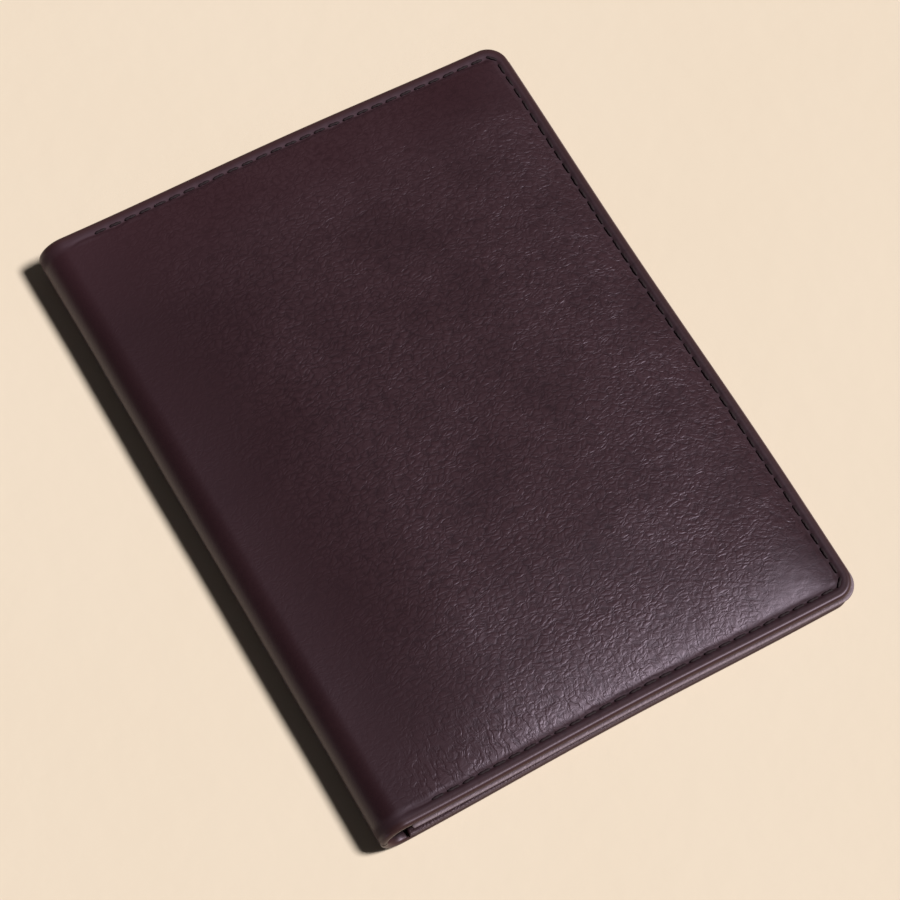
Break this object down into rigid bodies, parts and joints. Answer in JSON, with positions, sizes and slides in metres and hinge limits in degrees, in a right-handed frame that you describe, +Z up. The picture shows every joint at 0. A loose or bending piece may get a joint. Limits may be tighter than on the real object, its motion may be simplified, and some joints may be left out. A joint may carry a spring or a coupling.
{
  "type": "bifold wallet",
  "caption": "Tall leather bifold wallet, closed: stitched covers joined by a soft rolled spine, with stepped card pockets, an identity window and a note compartment.",
  "frame": {"origin": "centre of the closed wallet's footprint, on the surface it lies on", "axes": "+X from the spine to the opening edge, +Y along the spine to the end the notes go in, +Z up through the front cover"},
  "size_m": [0.095, 0.125, 0.0095],
  "materials": {
    "cover_leather": "fine pebbled full grain, semi-matt, dark oxblood",
    "inner_leather": "smooth calf, semi-matt, dark oxblood",
    "thread": "waxed polyester sewing thread, near black red",
    "lining_fabric": "fine twill lining, dark brown",
    "slip_fabric": "thin plain weave",
    "stiffener_board": "thin salpa board",
    "window_film": "clear flexible film"
  },
  "bodies": {
    "back": {"back_cover": "cover_leather", "back_stiffener": "stiffener_board", "back_lining": "lining_fabric", "back_inner_panel": "inner_leather", "back_cover_stitching": "thread", "back_pocket_stitching": "thread", "back_card_pocket_1": "inner_leather", "back_pocket_slip_1": "slip_fabric", "back_card_pocket_2": "inner_leather", "back_pocket_slip_2": "slip_fabric", "id_window_frame": "inner_leather", "id_window_film": "window_film", "back_roll_lining": "lining_fabric"},
    "spine": {"spine_leather": "cover_leather", "spine_lining": "lining_fabric"},
    "front": {"front_cover": "cover_leather", "front_stiffener": "stiffener_board", "front_lining": "lining_fabric", "front_inner_panel": "inner_leather", "front_cover_stitching": "thread", "front_pocket_stitching": "thread", "front_card_pocket_1": "inner_leather", "front_card_pocket_2": "inner_leather", "front_card_pocket_3": "inner_leather", "front_card_pocket_4": "inner_leather", "front_pocket_slip_1": "slip_fabric", "front_pocket_slip_2": "slip_fabric", "front_pocket_slip_3": "slip_fabric", "front_roll_lining": "lining_fabric"}
  },
  "joints": [
    {"name": "fold_back", "type": "hinge", "parent": "back", "child": "spine", "pos_m": [-0.04621, 0, 0.00135], "axis": [0, -1, 0], "range_deg": [0, 89]},
    {"name": "fold_front", "type": "hinge", "parent": "spine", "child": "front", "pos_m": [-0.04609, 0, 0.00777], "axis": [0, -1, 0], "range_deg": [0, 89]}
  ],
  "couplings": [
    {"joint": "fold_front", "follows": "fold_back", "ratio": 1}
  ]
}
